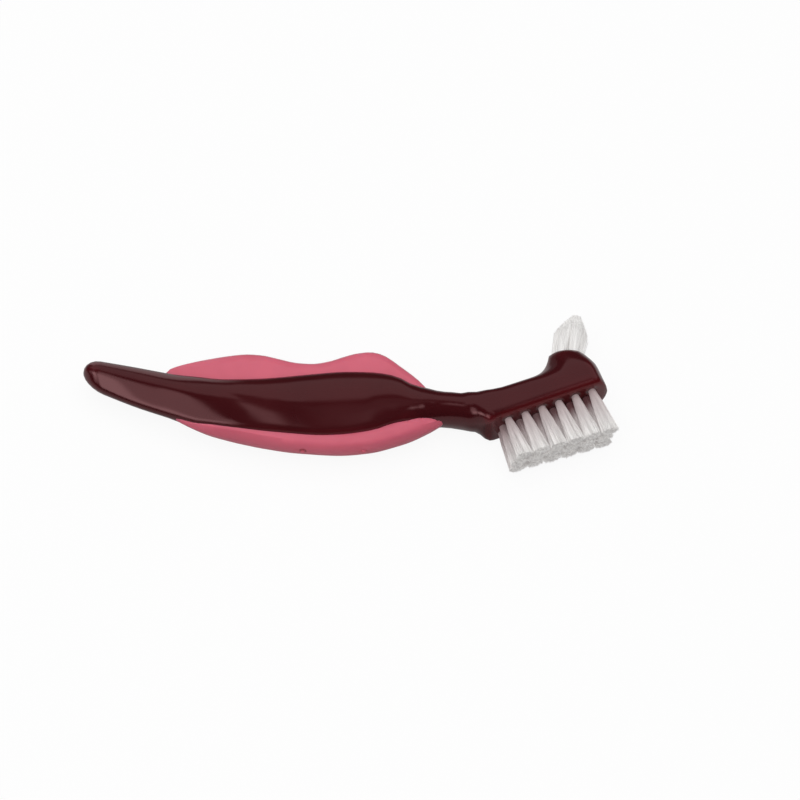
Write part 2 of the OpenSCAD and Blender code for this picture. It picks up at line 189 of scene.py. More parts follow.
class FilamentSizes(PropertyGroup):
    """The nylon filaments of both brushes."""

    nylon: FloatVectorProperty(
        name="Nylon", description="Colour of the filaments", subtype="COLOR", default=(0.93, 0.915, 0.9)
    )
    nylon_grey: FloatVectorProperty(
        name="Grey nylon",
        description="Colour of the greyer ones",
        subtype="COLOR",
        default=(0.74, 0.72, 0.71),
    )
    # Painted glow: emission that stands in for light scattered among the filaments
    glow: FloatProperty(
        name="Glow", description="Light that has scattered among them many times", default=0.1, precision=3
    )
    # Painted shade and see-through: a darker colour with the head's red in it, near the roots
    painted_root_shade: FloatVectorProperty(
        name="Root tint",
        description="Colour that shows through at the roots",
        subtype="COLOR",
        default=(0.4, 0.3, 0.305),
    )
    # Painted shade at the roots of the middle row, which the other rows shade
    painted_middle_row_shade: FloatVectorProperty(
        name="Deep tint",
        description="Colour at the roots of the middle row",
        subtype="COLOR",
        default=(0.17, 0.07, 0.075),
    )
    roughness: FloatVectorProperty(
        name="Roughness", description="Lowest and highest roughness", size=2, default=(0.3, 0.5)
    )
    streak_scale: FloatProperty(name="Streak scale", description="Streaks in each metre", default=1500)
    streak_stretch: FloatProperty(
        name="Streak stretch", description="Width of a streak over its length", default=0.05
    )
    fleck_scale: FloatProperty(name="Fleck scale", description="Rougher flecks in each metre", default=4000)
    thickness: FloatProperty(
        name="Thickness",
        description="Diameter of one filament",
        unit="LENGTH",
        default=0.22 * MM,
        precision=5,
    )
    model_length: FloatProperty(
        name="Model length",
        description="Length at which the one filament is modelled",
        unit="LENGTH",
        default=14 * MM,
    )
    bow: FloatProperty(
        name="Bow", description="How far it bows outwards", unit="LENGTH", default=0.09 * MM, precision=5
    )
    bow_scatter: FloatProperty(
        name="Bow scatter",
        description="Scatter of the point that it bows from",
        unit="LENGTH",
        default=0.3 * MM,
    )
    per_tuft: IntProperty(
        name="Per tuft", description="Filaments in a tuft of the head", default=230, min=20, max=300
    )
    per_point_tuft: IntProperty(
        name="Per pointed tuft",
        description="Filaments in a tuft of the pointed brush",
        default=190,
        min=20,
        max=300,
    )
    buried: FloatProperty(
        name="Buried", description="Length of a filament inside its hole", unit="LENGTH", default=1.2 * MM
    )


class HeadSizes(PropertyGroup):
    """Where the tufts stand on the head."""

    turn: FloatProperty(
        name="Turn", description="Turn of the head in plan", subtype="ANGLE", default=math.radians(15.7)
    )
    middle: FloatProperty(
        name="Middle", description="Height of the middle plane", unit="LENGTH", default=7.5 * MM
    )
    face_drop: FloatProperty(
        name="Face", description="Tuft face below the middle line", unit="LENGTH", default=3.7 * MM
    )
    columns: IntProperty(name="Columns", description="Tufts along the head", default=6)
    rows: IntProperty(name="Rows", description="Rows across the head", default=3)
    pitch: FloatProperty(
        name="Pitch", description="Tuft to tuft along the head", unit="LENGTH", default=5.28 * MM
    )
    row_step: FloatProperty(name="Row step", description="Row to row", unit="LENGTH", default=3.4 * MM)
    setback: FloatVectorProperty(
        name="Set-back",
        description="How far each row is set back",
        unit="LENGTH",
        default=(0, 1.7 * MM, 2 * MM),
    )
    last_at: FloatProperty(
        name="Last tuft", description="Place of the last tuft", unit="LENGTH", default=13.5 * MM
    )
    root_radius: FloatProperty(
        name="Root radius", description="Radius of a tuft at its hole", unit="LENGTH", default=0.95 * MM
    )
    free_length: FloatProperty(
        name="Free length", description="Length of the bristles", unit="LENGTH", default=13.9 * MM
    )
    trim_slant: FloatProperty(
        name="Trim", description="Slant of the ends", subtype="ANGLE", default=math.radians(3.4)
    )
    tip_width: FloatProperty(
        name="Tip width", description="Width of the ends along the head", unit="LENGTH", default=5.2 * MM
    )
    tip_depth: FloatProperty(
        name="Tip depth", description="Width of the ends across it", unit="LENGTH", default=3.7 * MM
    )
    jitter: FloatProperty(
        name="Jitter", description="Scatter of the ends", unit="LENGTH", default=0.18 * MM, precision=5
    )
    raggedness: FloatProperty(
        name="Raggedness",
        description="How much the ends fall short",
        unit="LENGTH",
        default=0.1 * MM,
        precision=5,
    )
    # Length of the painted shade at the roots
    root_shade_length: FloatProperty(
        name="Clear length",
        description="Length from the roots that looks clear",
        unit="LENGTH",
        default=13 * MM,
    )
    shade_across: FloatVectorProperty(
        name="Shade across",
        description="Distances from the middle row at which its shade starts to fade and ends",
        unit="LENGTH",
        size=2,
        default=(1.1 * MM, 2.3 * MM),
    )
    shade_reach: FloatVectorProperty(
        name="Shade reach",
        description="Distances from the roots at which that shade starts to fade and ends",
        unit="LENGTH",
        size=2,
        default=(2 * MM, 6 * MM),
    )
    shade_along: FloatVectorProperty(
        name="Shade along",
        description="Places along the head between which that shade grows",
        unit="LENGTH",
        size=2,
        default=(-12 * MM, 6 * MM),
    )
    shade_least: FloatProperty(
        name="Least shade", description="Share of that shade where it is least", default=0.4
    )


class PointedSizes(PropertyGroup):
    """Where the tufts of the pointed brush stand on the boss."""

    boss_at: FloatProperty(
        name="Boss", description="Place of the boss along the head", unit="LENGTH", default=11.9 * MM
    )
    boss_reach: FloatProperty(
        name="Boss reach", description="Reach of its end face", unit="LENGTH", default=11.1 * MM
    )
    lean: FloatProperty(
        name="Lean", description="Lean towards the free end", subtype="ANGLE", default=math.radians(9.5)
    )
    around: IntProperty(name="Around", description="Tufts round the middle one", default=6)
    ring: FloatProperty(
        name="Ring", description="Radius of the ring of tufts", unit="LENGTH", default=3.3 * MM
    )
    spread: FloatProperty(name="Spread", description="Spread from the holes to the ends", default=0.95)
    root_radius: FloatProperty(
        name="Root radius", description="Radius of a tuft at its hole", unit="LENGTH", default=1.2 * MM
    )
    tip_width: FloatProperty(
        name="Tip width", description="Width of a tuft's end", unit="LENGTH", default=3.5 * MM
    )
    sway: FloatProperty(
        name="Sway", description="How far the ends stand over to the right", unit="LENGTH", default=0.75 * MM
    )
    jitter: FloatProperty(
        name="Jitter", description="Scatter of the ends", unit="LENGTH", default=0.27 * MM, precision=5
    )
    raggedness: FloatProperty(
        name="Raggedness", description="How much the ends fall short", unit="LENGTH", default=0.4 * MM
    )
    blunt: FloatProperty(
        name="Blunt", description="Radius of the blunt point", unit="LENGTH", default=1.4 * MM
    )
    length: FloatProperty(name="Length", description="Length to the point", unit="LENGTH", default=14.1 * MM)
    point_off: FloatProperty(
        name="Point", description="Sideways place of the point", unit="LENGTH", default=1.9 * MM
    )
    slope: FloatProperty(
        name="Slope", description="Drop from point to shoulders", unit="LENGTH", default=8.4 * MM
    )
    nylon: FloatVectorProperty(
        name="Nylon", description="Colour of its filaments", subtype="COLOR", default=(0.745, 0.735, 0.725)
    )
    nylon_grey: FloatVectorProperty(
        name="Grey nylon",
        description="Colour of the greyer ones",
        subtype="COLOR",
        default=(0.65, 0.64, 0.63),
    )
    # Painted glow: emission that stands in for light scattered among the filaments
    glow: FloatProperty(
        name="Glow", description="Light that has scattered among them many times", default=0.25, precision=3
    )


class StageSettings(PropertyGroup):
    """Floor, light and camera."""

    view_point: FloatVectorProperty(
        name="View point",
        description="Point in the middle of the picture",
        unit="LENGTH",
        default=(-42.12 * MM, 4.4 * MM, 7.5 * MM),
    )
    elevation: FloatProperty(
        name="Elevation", description="Camera above the floor", subtype="ANGLE", default=math.radians(60)
    )
    turn: FloatProperty(
        name="Turn", description="Turn of the view in plan", subtype="ANGLE", default=math.radians(5.62)
    )
    distance: FloatProperty(name="Distance", description="Camera distance", unit="LENGTH", default=1.6)
    frame_width: FloatProperty(
        name="Frame width", description="Width seen at that distance", unit="LENGTH", default=800 / 3.4 * MM
    )
    room_level: FloatProperty(name="Room level", description="Light from all round", default=0.42)
    sky_level: FloatProperty(name="Sky level", description="Light of the wide sheet overhead", default=0.84)
    side_level: FloatProperty(name="Side level", description="Light of the softbox at the left", default=0.1)
    floor_size: FloatProperty(name="Floor size", description="Side of the floor", unit="LENGTH", default=4)
    floor_gap: FloatProperty(
        name="Floor gap", description="Floor below the brush", unit="LENGTH", default=0.05 * MM, precision=5
    )
    floor_matt: FloatProperty(name="Matt floor", description="Brightness that takes the shadow", default=0.55)
    floor_white: FloatProperty(
        name="White floor", description="Strength of the white that is seen", default=1.045
    )
    floor_cover: FloatProperty(
        name="Cover", description="How much that white covers the matt floor", default=0.88
    )
    floor_in_gloss: FloatVectorProperty(
        name="Floor in gloss",
        description="Brightness of the floor in the gloss, before the brush, behind it and far behind it",
        default=(0.43, 0.65, 0.08),
    )
    behind_from: FloatVectorProperty(
        name="Behind from",
        description="Places at which the front of the floor ends and what is behind the brush starts",
        unit="LENGTH",
        size=2,
        default=(0, 20 * MM),
    )
    far_from: FloatVectorProperty(
        name="Far from",
        description="Places at which what is behind the brush ends and what is far behind it starts",
        unit="LENGTH",
        size=2,
        default=(35 * MM, 65 * MM),
    )
    # Painted shadow on the floor, seen only in the gloss, where the glowing floor gets no real shadow
    pocket: FloatVectorProperty(
        name="Pocket",
        description="Place of the floor's deepest shadow, between the neck and the tufts",
        unit="LENGTH",
        default=(-18.5 * MM, -13.5 * MM, 0),
    )
    pocket_reach: FloatVectorProperty(
        name="Pocket reach",
        description="Distances from there at which that shadow starts to fade and ends",
        unit="LENGTH",
        size=2,
        default=(3 * MM, 9 * MM),
    )
    pocket_level: FloatProperty(
        name="Pocket level", description="Share of the light that is left there", default=0.3
    )
    tent_dark: FloatProperty(
        name="Dark tent", description="Brightness of the tent in the gloss", default=0.01
    )
    tent_far: FloatProperty(
        name="Far tent", description="Brightness of its far side in the gloss", default=0.03
    )
    tent_radius: FloatProperty(
        name="Tent radius", description="Radius of the tent", unit="LENGTH", default=2.4
    )
    card_level: FloatProperty(
        name="Card level", description="Brightness of the card behind the tail", default=0.85
    )


class BrushSettings(PropertyGroup):
    """All the sizes and colours of the brush."""

    handle: PointerProperty(type=HandleLook)
    grip: PointerProperty(type=GripLook)
    filaments: PointerProperty(type=FilamentSizes)
    head: PointerProperty(type=HeadSizes)
    pointed: PointerProperty(type=PointedSizes)
    stage: PointerProperty(type=StageSettings)


# Shader nodes and groups


def feed(tree, socket, value):
    """Links an output to a socket, or sets the socket's own value."""
    if isinstance(value, NodeSocket):
        tree.links.new(value, socket)
    else:
        socket.default_value = value


def add(tree, kind, inputs=(), **settings):
    """A node with its settings, and with outputs or values for its inputs."""
    node = tree.nodes.new(kind)
    for key, value in settings.items():
        setattr(node, key, value)
    for key, value in dict(inputs).items():
        feed(tree, node.inputs[key], value)
    return node


def maths(tree, operation, *values):
    """The result of an operation on these outputs or numbers."""
    return add(tree, "ShaderNodeMath", dict(enumerate(values)), operation=operation).outputs[0]


def vector_maths(tree, operation, *values):
    """The result of an operation on these outputs or vectors: a number for a distance or a dot product."""
    node = add(tree, "ShaderNodeVectorMath", dict(enumerate(values)), operation=operation)
    return node.outputs["Value" if operation in ("DISTANCE", "DOT_PRODUCT") else "Vector"]


def ramp(tree, source, low, high, start, end, kind="LINEAR"):
    """A value mapped from one range to another and clamped."""
    values = {"Value": source, "From Min": low, "From Max": high, "To Min": start, "To Max": end}
    return add(tree, "ShaderNodeMapRange", values, interpolation_type=kind).outputs["Result"]


def blend_colours(tree, mask, *colours):
    """The first of two colours where the mask is 0 and the second where it is 1."""
    first, second = [value if isinstance(value, NodeSocket) else (*value, 1) for value in colours]
    return add(tree, "ShaderNodeMix", {0: mask, 6: first, 7: second}, data_type="RGBA").outputs[2]


def own_place(tree, turn=0, stretch=(1, 1, 1)):
    """The place on the piece, in a frame turned about Z, with each direction scaled."""
    place = add(tree, "ShaderNodeTexCoord").outputs["Object"]
    turned = add(tree, "ShaderNodeMapping", {"Vector": place, "Rotation": (0, 0, -turn)})
    return vector_maths(tree, "MULTIPLY", turned.outputs[0], stretch)


def coordinates(tree, turn=0):
    """The X, Y and Z of the place on the piece, in a frame turned about Z."""
    return add(tree, "ShaderNodeSeparateXYZ", {0: own_place(tree, turn)}).outputs


def new_group(name, inputs, outputs):
    """A shader node group with the named sockets, what its inputs give and what its outputs take."""
    group = bpy.data.node_groups.new(name, "ShaderNodeTree")
    for label, kind, value in inputs:
        socket = group.interface.new_socket(name=label, in_out="INPUT", socket_type=kind)
        socket.default_value = value
    for label, kind in outputs:
        group.interface.new_socket(name=label, in_out="OUTPUT", socket_type=kind)
    return group, group.nodes.new("NodeGroupInput").outputs, group.nodes.new("NodeGroupOutput").inputs


def clouds_group():
    """Slow clouds and a fine grain over a surface."""
    name = "Moulded clouds"
    if name in bpy.data.node_groups:
        return bpy.data.node_groups[name]
    group, given, out = new_group(
        name,
        [
            ("Place", "NodeSocketVector", (0, 0, 0)),
            ("Cloud Scale", "NodeSocketFloat", 60.0),
            ("Grain Scale", "NodeSocketFloat", 900.0),
        ],
        [("Clouds", "NodeSocketFloat"), ("Grain", "NodeSocketFloat")],
    )
    patterns = (("Cloud Scale", "Clouds", 3, 0.55), ("Grain Scale", "Grain", 2, 0.6))
    for scale, result, detail, roughness in patterns:
        values = {"Vector": given["Place"], "Scale": given[scale], "Detail": detail, "Roughness": roughness}
        feed(group, out[result], add(group, "ShaderNodeTexNoise", values).outputs["Fac"])
    return group


def clouds(tree, place, cloud_scale, grain_scale=900):
    """The clouds and the grain on a place, with so many of each in a metre."""
    values = {"Place": place, "Cloud Scale": cloud_scale, "Grain Scale": grain_scale}
    return add(tree, "ShaderNodeGroup", values, node_tree=clouds_group()).outputs


def ring_group():
    """A narrow ring round a place."""
    name = "Ring"
    if name in bpy.data.node_groups:
        return bpy.data.node_groups[name]
    group, given, out = new_group(
        name,
        [
            ("Place", "NodeSocketVector", (0, 0, 0)),
            ("Middle", "NodeSocketVector", (0, 0, 0)),
            ("Radius", "NodeSocketFloat", 0.001),
            ("Shade", "NodeSocketFloat", 1.0),
        ],
        [("Ring", "NodeSocketFloat")],
    )
    distance = vector_maths(group, "DISTANCE", given["Place"], given["Middle"])
    off = maths(group, "ABSOLUTE", maths(group, "SUBTRACT", distance, given["Radius"]))
    share = maths(group, "DIVIDE", off, given["Radius"])
    feed(group, out["Ring"], maths(group, "MULTIPLY", ramp(group, share, 0.1, 0.45, 1, 0), given["Shade"]))
    return group


def window_group():
    """A soft-edged bright window on the tent: its brightness in a direction from the brush."""
    group, given, out = new_group(
        "Tent window",
        [
            ("Direction", "NodeSocketVector", (0, 0, 1)),
            ("Across", "NodeSocketVector", (1, 0, 0)),
            ("Up", "NodeSocketVector", (0, 1, 0)),
            ("Middle", "NodeSocketVector", (0, 0, 1)),
            ("Half Width", "NodeSocketFloat", 0.5),
            ("Half Height", "NodeSocketFloat", 0.5),
            ("Softness", "NodeSocketFloat", 0.1),
            ("Level", "NodeSocketFloat", 1.0),
        ],
        [("Brightness", "NodeSocketFloat")],
    )
    shine = given["Level"]
    for axis, half in (("Across", "Half Width"), ("Up", "Half Height")):
        off = maths(group, "ABSOLUTE", vector_maths(group, "DOT_PRODUCT", given["Direction"], given[axis]))
        edge = maths(group, "ADD", given[half], given["Softness"])
        shine = maths(group, "MULTIPLY", shine, ramp(group, off, given[half], edge, 1, 0, "SMOOTHSTEP"))
    facing = vector_maths(group, "DOT_PRODUCT", given["Direction"], given["Middle"])
    in_front = maths(group, "GREATER_THAN", facing, 0)
    feed(group, out["Brightness"], maths(group, "MULTIPLY", shine, in_front))
    return group


# Materials


def new_material(name, **values):
    """A Principled material: its tree and its shader's inputs, with the shader's constants set."""
    material = bpy.data.materials.new(name)
    material.use_nodes = True
    inputs = material.node_tree.nodes["Principled BSDF"].inputs
    for key, value in values.items():
        inputs[key.replace("_", " ")].default_value = value
    return material, material.node_tree, inputs


def fine_bump(tree, inputs, height, strength, distance, rounding=0):
    """Feeds a height to the shader's normal, over edges that look rounded by the given radius."""
    values = {"Height": height, "Strength": strength, "Distance": distance}
    if rounding:
        values["Normal"] = add(tree, "ShaderNodeBevel", {"Radius": rounding}, samples=8).outputs["Normal"]
    feed(tree, inputs["Normal"], add(tree, "ShaderNodeBump", values).outputs["Normal"])


def hard_plastic(look, head):
    """Deep maroon plastic with a moulded gloss, and a painted red glow where its edges are thin and beside
    the tufts.
    """
    material, tree, inputs = new_material(
        "Maroon plastic", Specular_IOR_Level=0.9, Specular_Tint=(*look.gloss_tint, 1)
    )
    cloud = clouds(tree, own_place(tree), look.cloud_scale)["Clouds"]
    colour = blend_colours(tree, ramp(tree, cloud, *MEDIUM, 0, 1), look.plastic_deep, look.plastic)
    # Painted glow on thin edges, found by their pointiness
    edge = add(tree, "ShaderNodeNewGeometry").outputs["Pointiness"]
    colour = blend_colours(tree, ramp(tree, edge, *look.edge_range, 0, 1), colour, look.painted_edge_glow)
    # Painted glow on the face beside the first tufts, which light it
    x, y, _ = coordinates(tree, head.turn)
    first_tuft = head.last_at - (head.columns - 1) * head.pitch
    start, full, height = look.tuft_light
    along = ramp(tree, x, first_tuft - start, first_tuft - full, 0, 1)
    down = ramp(tree, y, height - head.face_drop, -head.face_drop, 0, 1)
    colour = blend_colours(tree, maths(tree, "MULTIPLY", along, down), colour, look.painted_tuft_glow)
    feed(tree, inputs["Base Color"], colour)
    feed(tree, inputs["Roughness"], ramp(tree, cloud, *SOFT, *look.roughness))
    fine_bump(tree, inputs, cloud, 0.08, 0.4 * MM, look.rounding)
    return material


def elastomer(look):
    """Satin pink elastomer with a fine moulded grain and painted shade in the corner round each moulding
    mark.
    """
    material, tree, inputs = new_material(
        "Pink elastomer",
        Subsurface_Weight=0.12,
        Subsurface_Scale=0.002,
        Sheen_Weight=0.1,
        Sheen_Roughness=0.4,
    )
    pattern = clouds(tree, own_place(tree), look.cloud_scale, look.grain_scale)
    mask = ramp(tree, pattern["Clouds"], *MEDIUM, 0, 1)
    colour = blend_colours(tree, mask, look.elastomer_deep, look.elastomer)
    # Painted shade: a darker ring in the corner round each moulding mark
    for middle, _, shade in MOULDING_MARKS:
        values = {"Place": own_place(tree), "Middle": middle, "Radius": MARK_RADIUS, "Shade": shade}
        ring = add(tree, "ShaderNodeGroup", values, node_tree=ring_group())
        colour = blend_colours(tree, ring.outputs["Ring"], colour, look.mark_shade)
    feed(tree, inputs["Base Color"], colour)
    feed(tree, inputs["Roughness"], ramp(tree, pattern["Clouds"], *SOFT, *look.roughness))
    fine_bump(tree, inputs, pattern["Grain"], 0.18, 0.05 * MM)
    return material


def shaded_roots(tree, colour, sizes, head):
    """A colour of nylon with painted shade and the head's colour painted in at its roots, most in the middle
    row, which the other rows shade.
    """
    x, y, z = coordinates(tree, head.turn)
    roots = -head.face_drop
    # Painted shade near the roots, with the head's colour painted in as if seen through them
    near_roots = ramp(tree, y, roots - head.root_shade_length, roots, 0, 1)
    colour = blend_colours(tree, near_roots, colour, sizes.painted_root_shade)
    # Painted shade among the rows, deepest at the middle row's roots
    off_middle = maths(tree, "ABSOLUTE", maths(tree, "SUBTRACT", z, head.middle))
    fade_from, fade_to = head.shade_reach
    deep = maths(
        tree,
        "MULTIPLY",
        ramp(tree, off_middle, *head.shade_across, 1, 0),
        ramp(tree, y, roots - fade_to, roots - fade_from, 0, 1),
    )
    shade = maths(tree, "MULTIPLY", deep, ramp(tree, x, *head.shade_along, head.shade_least, 1))
    return blend_colours(tree, shade, colour, sizes.painted_middle_row_shade)


def nylon(name, sizes, turn, colours, glow, head=None):
    """Milky nylon in streaks of two colours along its filaments, which are turned by turn in plan."""
    # The emission is painted glow, standing in for light scattered among the filaments
    material, tree, inputs = new_material(name, Specular_IOR_Level=0.5, Emission_Strength=glow)
    stretched = own_place(tree, turn, (1, sizes.streak_stretch, 1))
    pattern = clouds(tree, stretched, sizes.streak_scale, sizes.fleck_scale)
    colour = blend_colours(tree, ramp(tree, pattern["Clouds"], *SHARP, 0, 1), *colours)
    if head:
        colour = shaded_roots(tree, colour, sizes, head)
    feed(tree, inputs["Base Color"], colour)
    feed(tree, inputs["Emission Color"], colour)
    feed(tree, inputs["Roughness"], ramp(tree, pattern["Grain"], *SOFT, *sizes.roughness))
    return material


def anchor_metal():
    """Thin rolled brass strip."""
    material, tree, inputs = new_material("Brass strip", Metallic=1.0)
    pattern = clouds(tree, own_place(tree), 400, 5000)
    mask = ramp(tree, pattern["Clouds"], *SOFT, 0, 1)
    feed(tree, inputs["Base Color"], blend_colours(tree, mask, (0.55, 0.4, 0.17), (0.66, 0.5, 0.23)))
    feed(tree, inputs["Roughness"], ramp(tree, pattern["Grain"], *SOFT, 0.25, 0.45))
    return material


def bare_material(name):
    """A material with an empty tree."""
    material = bpy.data.materials.new(name)
    material.use_nodes = True
    material.node_tree.nodes.clear()
    return material, material.node_tree


def seen_directly(tree):
    """1 for camera, glossy and transmitted rays, and 0 for the rest."""
    rays = add(tree, "ShaderNodeLightPath").outputs
    seen = maths(tree, "MAXIMUM", rays["Is Camera Ray"], rays["Is Glossy Ray"])
    return maths(tree, "MAXIMUM", seen, rays["Is Transmission Ray"])


def white_floor(stage):
    """White floor that is seen white, dimmer in the gloss with a painted shadow between the neck and the
    tufts, and keeps the brush's soft shadow.
    """
    material, tree = bare_material("White floor")
    _, y, _ = coordinates(tree)
    front, behind, far = stage.floor_in_gloss
    open_floor = maths(
        tree,
        "MULTIPLY",
        ramp(tree, y, *stage.behind_from, front, behind),
        ramp(tree, y, *stage.far_from, 1, far / behind),
    )
    # Painted shadow in the gloss, between the neck and the tufts
    from_pocket = vector_maths(tree, "DISTANCE", own_place(tree), stage.pocket)
    shadow = ramp(tree, from_pocket, *stage.pocket_reach, stage.pocket_level, 1)
    in_gloss = maths(tree, "MULTIPLY", open_floor, shadow)
    glossy = add(tree, "ShaderNodeLightPath").outputs["Is Glossy Ray"]
    strength = add(tree, "ShaderNodeMix", {0: glossy, 2: stage.floor_white, 3: in_gloss})
    white = add(tree, "ShaderNodeEmission", {"Color": WHITE, "Strength": strength.outputs[0]})
    matt = add(tree, "ShaderNodeBsdfDiffuse", {"Color": (*[stage.floor_matt] * 3, 1)})
    cover = ramp(tree, seen_directly(tree), 0, 1, 0, stage.floor_cover)
    mix = add(tree, "ShaderNodeMixShader", {0: cover, 1: matt.outputs[0], 2: white.outputs[0]})
    add(tree, "ShaderNodeOutputMaterial", {"Surface": mix.outputs[0]})
    return material


def tent_brightness(tree, stage):
    """Brightness of the dark tent, with its bright windows and its lighter far side."""
    direction = vector_maths(tree, "NORMALIZE", add(tree, "ShaderNodeTexCoord").outputs["Object"])
    backwards = add(tree, "ShaderNodeSeparateXYZ", {0: direction}).outputs["Y"]
    brightness = ramp(tree, backwards, 0.5, 1, stage.tent_dark, stage.tent_far)
    group = window_group()
    for arc, side, half_width, half_height, softness, level in WINDOWS:
        middle = towards(arc, side)
        across = (Vector((1, 0, 0)) - middle * middle.x).normalized()
        values = {
            "Direction": direction,
            "Across": across,
            "Up": middle.cross(across),
            "Middle": middle,
            "Half Width": half_width,
            "Half Height": half_height,
            "Softness": softness,
            "Level": level,
        }
        window = add(tree, "ShaderNodeGroup", values, node_tree=group)
        brightness = maths(tree, "MAXIMUM", brightness, window.outputs["Brightness"])
    return brightness


# Modelling


def settings(context):
    """The settings kept on the scene."""
    return context.scene.denture_brush


def only(*objects):
    """Selects these objects alone and makes the first one active."""
    bpy.ops.object.select_all(action="DESELECT")
    for piece in objects:
        piece.select_set(True)
    bpy.context.view_layer.objects.active = objects[0]


def dress(piece, material, slot, *nodes):
    """Gives a finished piece its material and its place on the body, in the stead of its nodes."""
    piece.data.materials.clear()
    piece.data.materials.append(material)
    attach(piece, "root")
    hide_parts(*nodes)


def moulded_copy(node, name, smooth_angle):
    """A merged, smooth-shaded copy of a moulding's node."""
    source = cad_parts[node]
    piece = source.copy()
    piece.data = source.data.copy()
    piece.name = piece.data.name = name
    piece.parent = None
    for key in list(piece.keys()):
        del piece[key]
    bpy.context.scene.collection.objects.link(piece)
    only(piece)
    bpy.ops.object.mode_set(mode="EDIT")
    bpy.ops.mesh.select_all(action="SELECT")
    bpy.ops.mesh.remove_doubles(threshold=MERGE_DISTANCE)
    bpy.ops.mesh.dissolve_degenerate(threshold=MERGE_DISTANCE)
    bpy.ops.mesh.dissolve_limited(angle_limit=FLAT_ANGLE)
    bpy.ops.mesh.normals_make_consistent(inside=False)
    bpy.ops.object.mode_set(mode="OBJECT")
    bpy.ops.object.shade_smooth_by_angle(angle=smooth_angle)
    even = piece.modifiers.new("Even shading", "WEIGHTED_NORMAL")
    even.keep_sharp = True
    bpy.ops.object.modifier_apply(modifier=even.name)
    return piece


def choose(piece, test):
    """Selects the faces of a piece in edit mode whose centre and normal pass the test."""
    bpy.ops.mesh.select_all(action="DESELECT")
    bpy.ops.object.mode_set(mode="OBJECT")
    for face in piece.data.polygons:
        face.select = test(face.center, face.normal)
    bpy.ops.object.mode_set(mode="EDIT")


def raise_mark(piece, middle, outwards, look):
    """Insets the end of a moulding mark and moves it outwards."""
    only(piece)
    bpy.ops.object.mode_set(mode="EDIT")
    bpy.ops.mesh.select_mode(type="FACE")
    choose(
        piece,
        lambda centre, normal: (centre - middle).length < MARK_RADIUS / 2 and normal.dot(outwards) > 0.95,
    )
    bpy.ops.mesh.inset(thickness=look.mark_inset)
    bpy.ops.transform.translate(value=outwards * look.mark_rise)
    bpy.ops.object.mode_set(mode="OBJECT")


def one_filament(sizes):
    """One filament along +Z from the origin: a six-sided rod with a rounded end and a slight bow."""
    length = sizes.model_length
    bpy.ops.object.select_all(action="DESELECT")
    bpy.ops.mesh.primitive_cylinder_add(
        vertices=6,
        radius=sizes.thickness / 2,
        depth=length,
        end_fill_type="NGON",
        location=(0, 0, length / 2),
    )
    piece = bpy.context.active_object
    piece.name = "filament_model"
    bpy.ops.object.transform_apply(location=True, rotation=True, scale=True)
    bpy.ops.object.mode_set(mode="EDIT")
    bpy.ops.mesh.select_mode(type="FACE")
    for share, _ in BOWED_AT:
        bpy.ops.mesh.select_all(action="SELECT")
        bpy.ops.mesh.bisect(plane_co=(0, 0, share * length), plane_no=(0, 0, 1))
    choose(piece, lambda centre, normal: normal.z > 0.9)
    bpy.ops.mesh.inset(thickness=sizes.thickness * 0.2)
    bpy.ops.transform.translate(value=(0, 0, sizes.thickness * 0.3))
    bpy.ops.object.mode_set(mode="OBJECT")
    for share, part in BOWED_AT:
        for vertex in piece.data.vertices:
            vertex.select = abs(vertex.co.z - share * length) < length * 0.01
        bpy.ops.object.mode_set(mode="EDIT")
        bpy.ops.mesh.select_mode(type="VERT")
        bpy.ops.transform.translate(value=(sizes.bow * part, 0, 0))
        bpy.ops.object.mode_set(mode="OBJECT")
    bpy.ops.object.shade_smooth_by_angle(angle=math.radians(70))
    return piece


def in_disc(index, count):
    """Point number index of count spread evenly over a disc of radius 1."""
    radius = math.sqrt((index + 0.5) / count)
    return Vector((radius * math.cos(index * GOLDEN_TURN), radius * math.sin(index * GOLDEN_TURN)))


def buried_line(mouth, tip, sizes):
    """The root and the tip of a filament that leaves its hole at the mouth."""
    return mouth - (tip - mouth).normalized() * sizes.buried, tip


def head_lines(head, sizes, along, chance):
    """The filaments of a tuft that stands at this place along the head, trimmed to the slant of its ends."""
    slope = math.tan(head.trim_slant)
    lines = []
    for index in range(sizes.per_tuft):
        spot = in_disc(index, sizes.per_tuft)
        across = spot.x * (head.tip_width - sizes.thickness) / 2 + chance.gauss(0, head.jitter)
        down = spot.y * (head.tip_depth - sizes.thickness) / 2 + chance.gauss(0, head.jitter)
        height = head.free_length + slope * (along + across) - abs(chance.gauss(0, head.raggedness))
        mouth = Vector((spot.x * head.root_radius, spot.y * head.root_radius, 0))
        lines.append(buried_line(mouth, Vector((across, down, height)), sizes))
    return lines


def pointed_lines(pointed, sizes, hole, chance):
    """The filaments of a tuft in this hole of the boss, cut back from the point on every side."""
    shoulder = pointed.ring * pointed.spread + pointed.tip_width / 2
    point = Vector((pointed.point_off, 0))
    lines = []
    for index in range(sizes.per_point_tuft):
        spot = in_disc(index, sizes.per_point_tuft)
        end = hole * pointed.spread + spot * (pointed.tip_width - sizes.thickness) / 2
        end += Vector((pointed.sway + chance.gauss(0, pointed.jitter), chance.gauss(0, pointed.jitter)))
        away = end - point
        fall = pointed.slope / (shoulder - pointed.point_off * away.normalized().x)
        cut = fall * max(0, away.length - pointed.blunt)
        height = pointed.length - cut - abs(chance.gauss(0, pointed.raggedness))
        mouth = (hole + spot * pointed.root_radius).to_3d()
        lines.append(buried_line(mouth, Vector((end.x, end.y, height)), sizes))
    return lines


